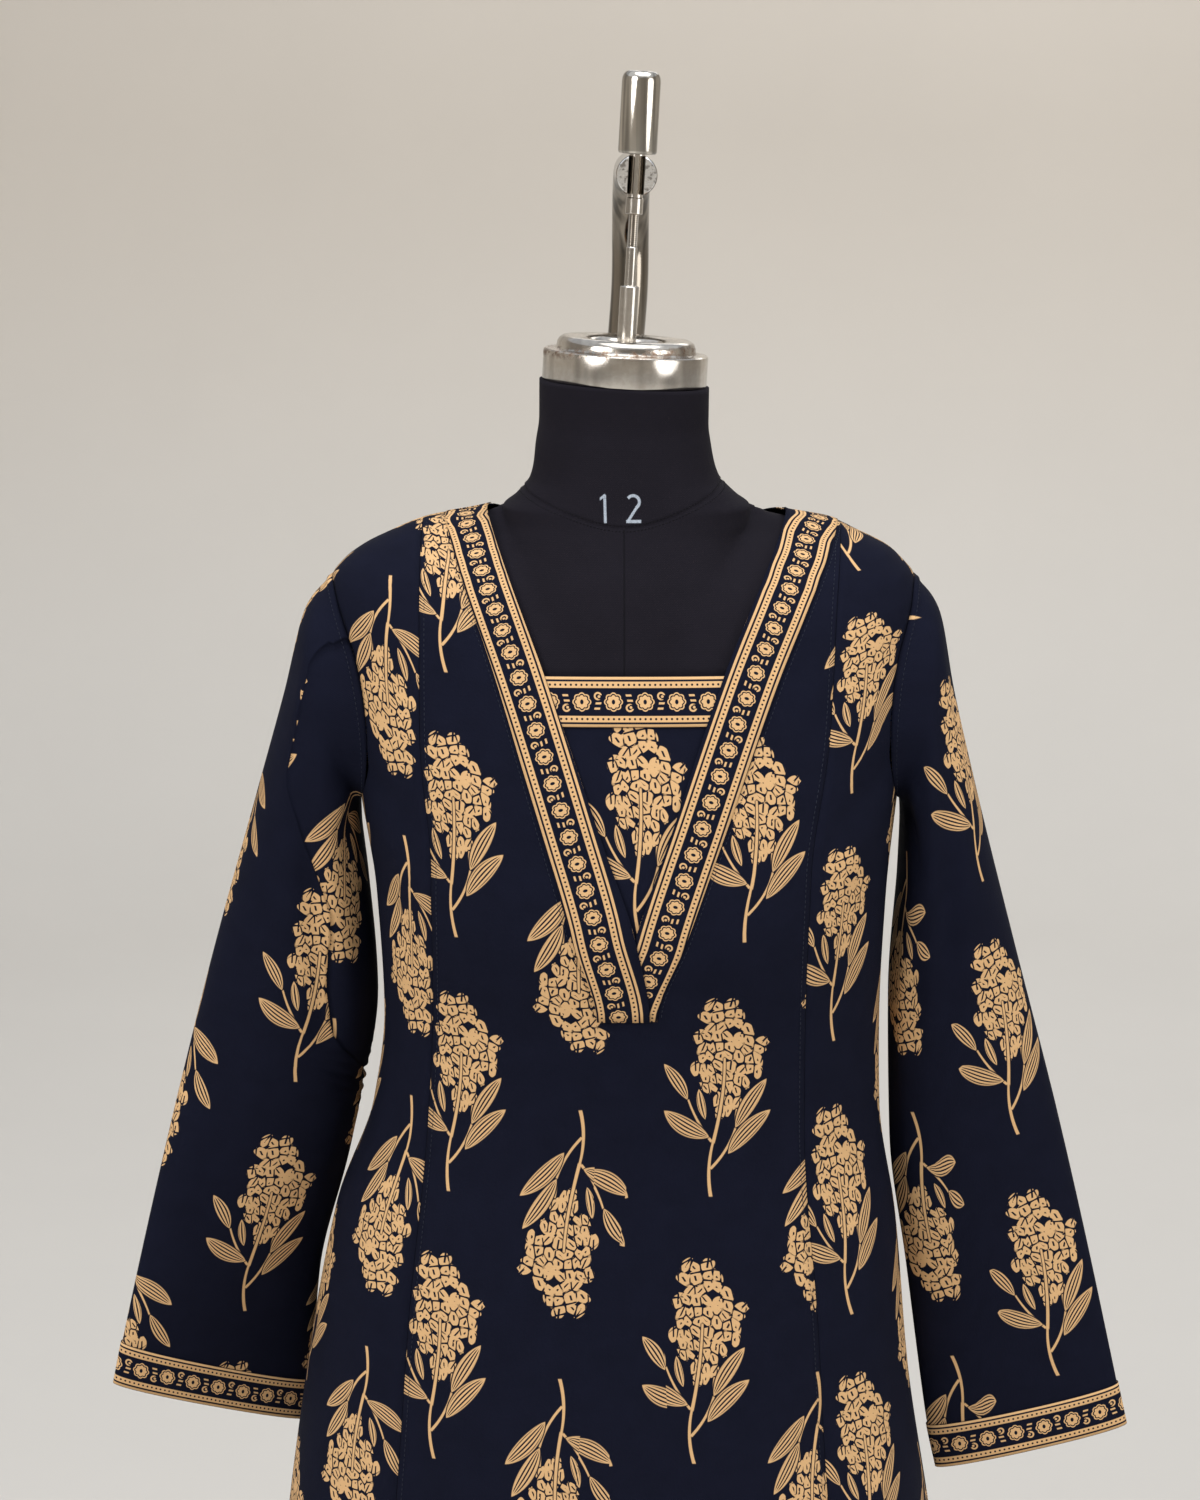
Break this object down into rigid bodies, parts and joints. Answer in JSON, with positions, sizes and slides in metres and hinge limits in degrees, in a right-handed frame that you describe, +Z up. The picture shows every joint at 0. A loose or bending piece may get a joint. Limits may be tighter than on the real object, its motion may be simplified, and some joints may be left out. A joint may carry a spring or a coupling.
{
  "type": "a-line kurta on a limbless dress form and stand",
  "caption": "Worn a-line kurta with princess seams, V neckline with inset and long sleeves, on a smooth limbless dress form that hangs from a crook-topped pole on a flat base.",
  "frame": {"origin": "on the base plate's underside, straight below the hanging form's axis", "axes": "+Z up, the kurta's front faces -Y, +X to the viewer's right as seen from the front"},
  "size_m": [0.6881, 0.45, 1.685],
  "materials": {
    "cloth": "matt printed cotton",
    "border": "matt printed cotton",
    "jersey": "matt stretch jersey",
    "steel": "worn turned steel",
    "dark_chrome": "dark polished chrome",
    "base_paint": "satin dark paint"
  },
  "bodies": {
    "root": {"front_center": "cloth", "back": "cloth", "front_side_left": "cloth", "front_side_right": "cloth", "sleeve_left": "cloth", "sleeve_right": "cloth", "neck_inset": "cloth", "neck_band_left": "border", "neck_band_right": "border", "inset_band": "border", "cuff_band_left": "border", "cuff_band_right": "border", "form_torso": "jersey", "neck_cap": "steel", "hanging_rod": "steel", "knob": "dark_chrome", "crook_pole": "dark_chrome", "pole_collar": "dark_chrome", "base_plate": "base_paint"}
  },
  "joints": []
}
